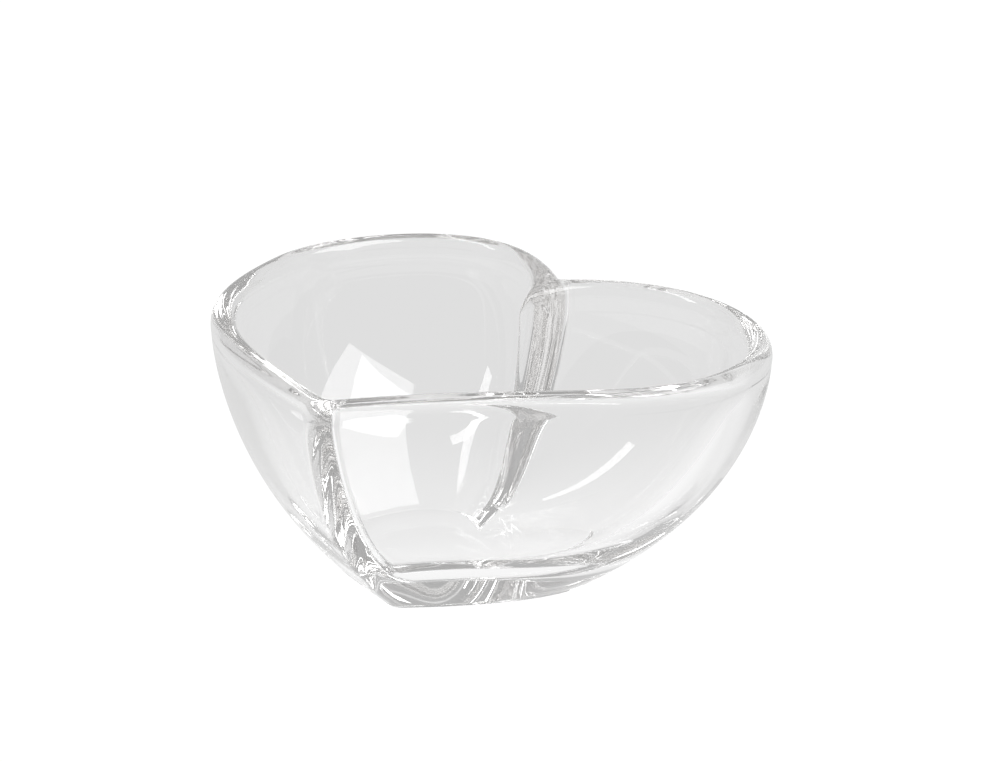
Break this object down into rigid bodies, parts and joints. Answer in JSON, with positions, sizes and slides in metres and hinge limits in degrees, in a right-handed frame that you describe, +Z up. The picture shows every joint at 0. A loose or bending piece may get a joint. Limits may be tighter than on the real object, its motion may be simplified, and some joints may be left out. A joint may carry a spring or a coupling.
{
  "type": "heart-shaped bowl",
  "caption": "Open heart-shaped bowl of thick clear glass with a rounded rim, a deep cleft, curved sides and a small flat foot.",
  "frame": {"origin": "on the table, under the middle of the bowl's box", "axes": "+Z up through the open mouth, -Y towards the tip of the heart, +X to the right-hand lobe seen from the tip"},
  "size_m": [0.15, 0.1264, 0.0673],
  "materials": {
    "clear_glass": "fire-polished, colourless"
  },
  "bodies": {
    "root": {"heart_bowl": "clear_glass"}
  },
  "joints": []
}
